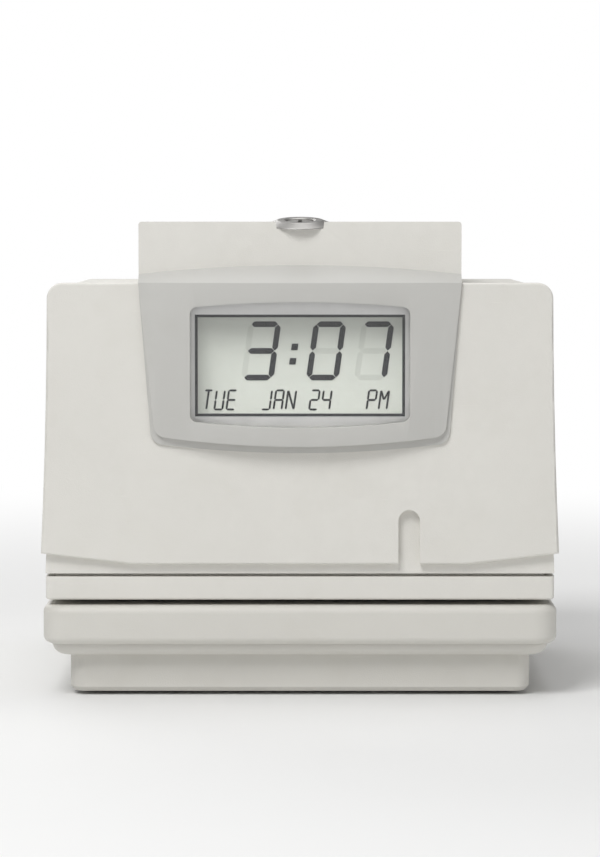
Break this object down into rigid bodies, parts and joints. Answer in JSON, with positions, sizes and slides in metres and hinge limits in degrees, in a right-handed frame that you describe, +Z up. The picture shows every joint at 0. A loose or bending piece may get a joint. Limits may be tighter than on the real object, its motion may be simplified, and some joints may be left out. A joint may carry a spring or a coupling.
{
  "type": "date and time stamp machine",
  "caption": "Desktop time and date stamp with a bowed display, a lift-off locking cover, a paper throat and a travelling print head inside.",
  "frame": {"origin": "on the desk, in the middle of the machine's width and depth", "axes": "+X to the right as seen from the front, +Y to the back, +Z up"},
  "size_m": [0.165, 0.15, 0.1536],
  "materials": {
    "case_plastic": "fine moulded texture, warm off-white",
    "bezel_plastic": "smooth satin moulding, off-white",
    "base_plastic": "fine moulded texture, warm light grey",
    "lens_clear": "clear window, gloss",
    "lcd_glass": "grey reflective display with dark segments",
    "lock_metal": "satin nickel",
    "sheet_steel": "zinc plated sheet",
    "ground_steel": "ground rod",
    "bronze": "sintered bronze",
    "gear_nylon": "white acetal",
    "dark_plastic": "black moulding",
    "motor_metal": "plated can",
    "rubber": "dense rubber",
    "circuit_board": "green solder mask",
    "ribbon_fabric": "inked nylon",
    "button_plastic": "dark grey caps",
    "battery_sleeve": "shrink sleeve"
  },
  "bodies": {
    "base": {"base_tray": "base_plastic", "rubber_feet": "rubber", "case_screws": "sheet_steel", "lower_case": "base_plastic", "power_jack": "dark_plastic", "platen_pad": "rubber", "platen_holder": "sheet_steel", "throat_deck": "case_plastic", "ribbon_mask": "sheet_steel", "side_plate_left": "sheet_steel", "side_plate_right": "sheet_steel", "tie_bar": "sheet_steel", "front_guide_rod": "ground_steel", "rear_guide_rod": "ground_steel", "rod_clips": "ground_steel", "screw_bushings": "bronze", "feed_motor": "motor_metal", "small_screws": "ground_steel", "ribbon_cartridge": "dark_plastic", "ink_ribbon": "ribbon_fabric", "ribbon_motor": "motor_metal", "trigger_bracket": "sheet_steel", "trigger_pin": "ground_steel", "trigger_switch": "dark_plastic", "home_sensor": "dark_plastic", "lcd_frame": "sheet_steel", "lcd_module": "lcd_glass", "display_board": "circuit_board", "display_bracket": "sheet_steel", "latch_striker": "sheet_steel", "button_switches": "dark_plastic", "main_board": "circuit_board", "board_parts": "dark_plastic", "battery_pack": "battery_sleeve"},
    "cover": {"cover_shell": "case_plastic", "front_fascia": "case_plastic", "display_bezel": "bezel_plastic", "window_lens": "lens_clear", "lock_housing": "lock_metal", "lock_clip": "sheet_steel"},
    "lock_core": {"lock_plug": "lock_metal", "lock_cam": "sheet_steel"},
    "carriage": {"carriage": "dark_plastic", "carriage_bushings": "bronze", "screw_follower": "gear_nylon", "print_head": "dark_plastic"},
    "feed_screw": {"lead_screw": "ground_steel", "screw_gear": "gear_nylon"},
    "motor_rotor": {"motor_shaft": "ground_steel", "motor_pinion": "bronze"},
    "ribbon_feed": {"ribbon_spindle": "gear_nylon", "ribbon_gear": "gear_nylon"},
    "ribbon_drive": {"ribbon_pinion": "bronze"},
    "stop_slider": {"depth_stop": "dark_plastic"},
    "paper_trigger": {"trigger_lever": "gear_nylon"},
    "set_key": {"set_button": "button_plastic"},
    "change_key": {"change_button": "button_plastic"},
    "enter_key": {"enter_button": "button_plastic"}
  },
  "joints": [
    {"name": "cover_lift", "type": "slide", "parent": "base", "child": "cover", "axis": [0, 0, 1], "range_m": [0, 0.03]},
    {"name": "lock_turn", "type": "hinge", "parent": "cover", "child": "lock_core", "pos_m": [0, -0.05935, 0.1509], "axis": [0, -0.1392, 0.9903], "range_deg": [0, 90]},
    {"name": "carriage_slide", "type": "slide", "parent": "base", "child": "carriage", "axis": [1, 0, 0], "range_m": [-0.048, 0]},
    {"name": "feed_screw_turn", "type": "hinge", "parent": "base", "child": "feed_screw", "pos_m": [0, -0.016, 0.064], "axis": [1, 0, 0], "range_deg": [-720, 0]},
    {"name": "motor_turn", "type": "hinge", "parent": "base", "child": "motor_rotor", "pos_m": [-0.06, 0.01021, 0.08235], "axis": [1, 0, 0], "range_deg": [0, 2160]},
    {"name": "ribbon_feed_turn", "type": "hinge", "parent": "base", "child": "ribbon_feed", "pos_m": [-0.022, -0.02, 0.05], "axis": [0, 0, 1], "continuous": true},
    {"name": "ribbon_drive_turn", "type": "hinge", "parent": "base", "child": "ribbon_drive", "pos_m": [-0.044, -0.02, 0.05], "axis": [0, 0, 1], "continuous": true},
    {"name": "stop_slide", "type": "slide", "parent": "base", "child": "stop_slider", "axis": [0, 1, 0], "range_m": [-0.024, 0]},
    {"name": "trigger_swing", "type": "hinge", "parent": "base", "child": "paper_trigger", "pos_m": [-0.06, -0.034, 0.042], "axis": [1, 0, 0], "range_deg": [0, 30], "stiffness_Nm_per_rad": 0.002, "springref_deg": -11.46},
    {"name": "set_key_press", "type": "slide", "parent": "base", "child": "set_key", "axis": [0, 1, 0], "range_m": [0, 0.0005], "stiffness_N_per_m": 400, "springref_m": -0.0005},
    {"name": "change_key_press", "type": "slide", "parent": "base", "child": "change_key", "axis": [0, 1, 0], "range_m": [0, 0.0005], "stiffness_N_per_m": 400, "springref_m": -0.0005},
    {"name": "enter_key_press", "type": "slide", "parent": "base", "child": "enter_key", "axis": [0, 1, 0], "range_m": [0, 0.0005], "stiffness_N_per_m": 400, "springref_m": -0.0005}
  ],
  "couplings": [
    {"joint": "feed_screw_turn", "follows": "carriage_slide", "rad_per_m": 261.8},
    {"joint": "motor_turn", "follows": "carriage_slide", "rad_per_m": -785.4},
    {"joint": "ribbon_drive_turn", "follows": "ribbon_feed_turn", "ratio": -1.75}
  ]
}
